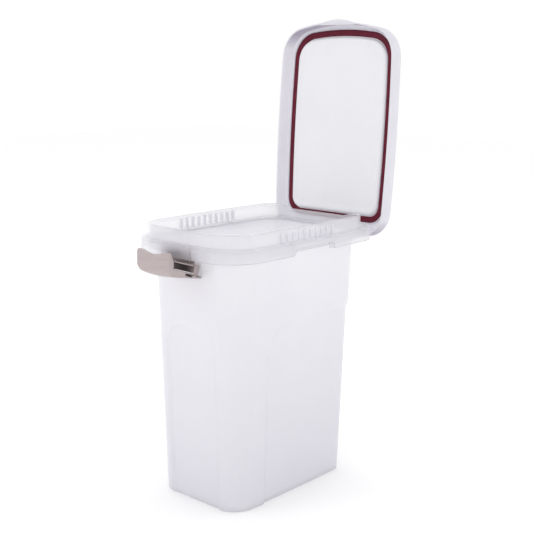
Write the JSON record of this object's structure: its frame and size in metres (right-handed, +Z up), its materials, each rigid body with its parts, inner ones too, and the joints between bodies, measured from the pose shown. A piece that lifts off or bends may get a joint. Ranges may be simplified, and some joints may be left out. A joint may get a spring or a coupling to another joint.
{
  "type": "flip-top food canister",
  "caption": "Tall tapered food storage bin with a clipped-on collar, hinged flip-top lid with rubber seal, and a front latch.",
  "frame": {"origin": "centre of the flat base, on the surface it stands on", "axes": "+Z up, -Y the latch side, +Y the hinge side, +X the width"},
  "size_m": [0.22, 0.4071, 0.6874],
  "materials": {
    "bin_plastic": "milky translucent polypropylene, satin",
    "collar_plastic": "milky translucent polypropylene, satin",
    "lid_plastic": "milky white polypropylene, satin",
    "liner_plastic": "milky white polypropylene, satin",
    "seal_rubber": "burgundy silicone, satin",
    "latch_bronze": "warm grey-bronze plastic with a brushed look",
    "latch_inner": "dark bronze plastic",
    "pin_steel": "plain steel rod"
  },
  "bodies": {
    "canister": {"bin_body": "bin_plastic", "collar": "collar_plastic", "hinge_pin_left": "pin_steel", "hinge_pin_right": "pin_steel", "latch_pin": "pin_steel"},
    "lid": {"lid_cover": "lid_plastic", "lid_liner": "liner_plastic", "lid_gasket": "seal_rubber"},
    "latch": {"latch_cover": "latch_bronze", "latch_frame": "latch_inner"}
  },
  "joints": [
    {"name": "lid_hinge", "type": "hinge", "parent": "canister", "child": "lid", "pos_m": [0, 0.1515, 0.3713], "axis": [1, 0, 0], "range_deg": [0, 93.7]},
    {"name": "latch_hinge", "type": "hinge", "parent": "canister", "child": "latch", "pos_m": [0, -0.1523, 0.3705], "axis": [-1, 0, 0], "range_deg": [0, 72]}
  ]
}
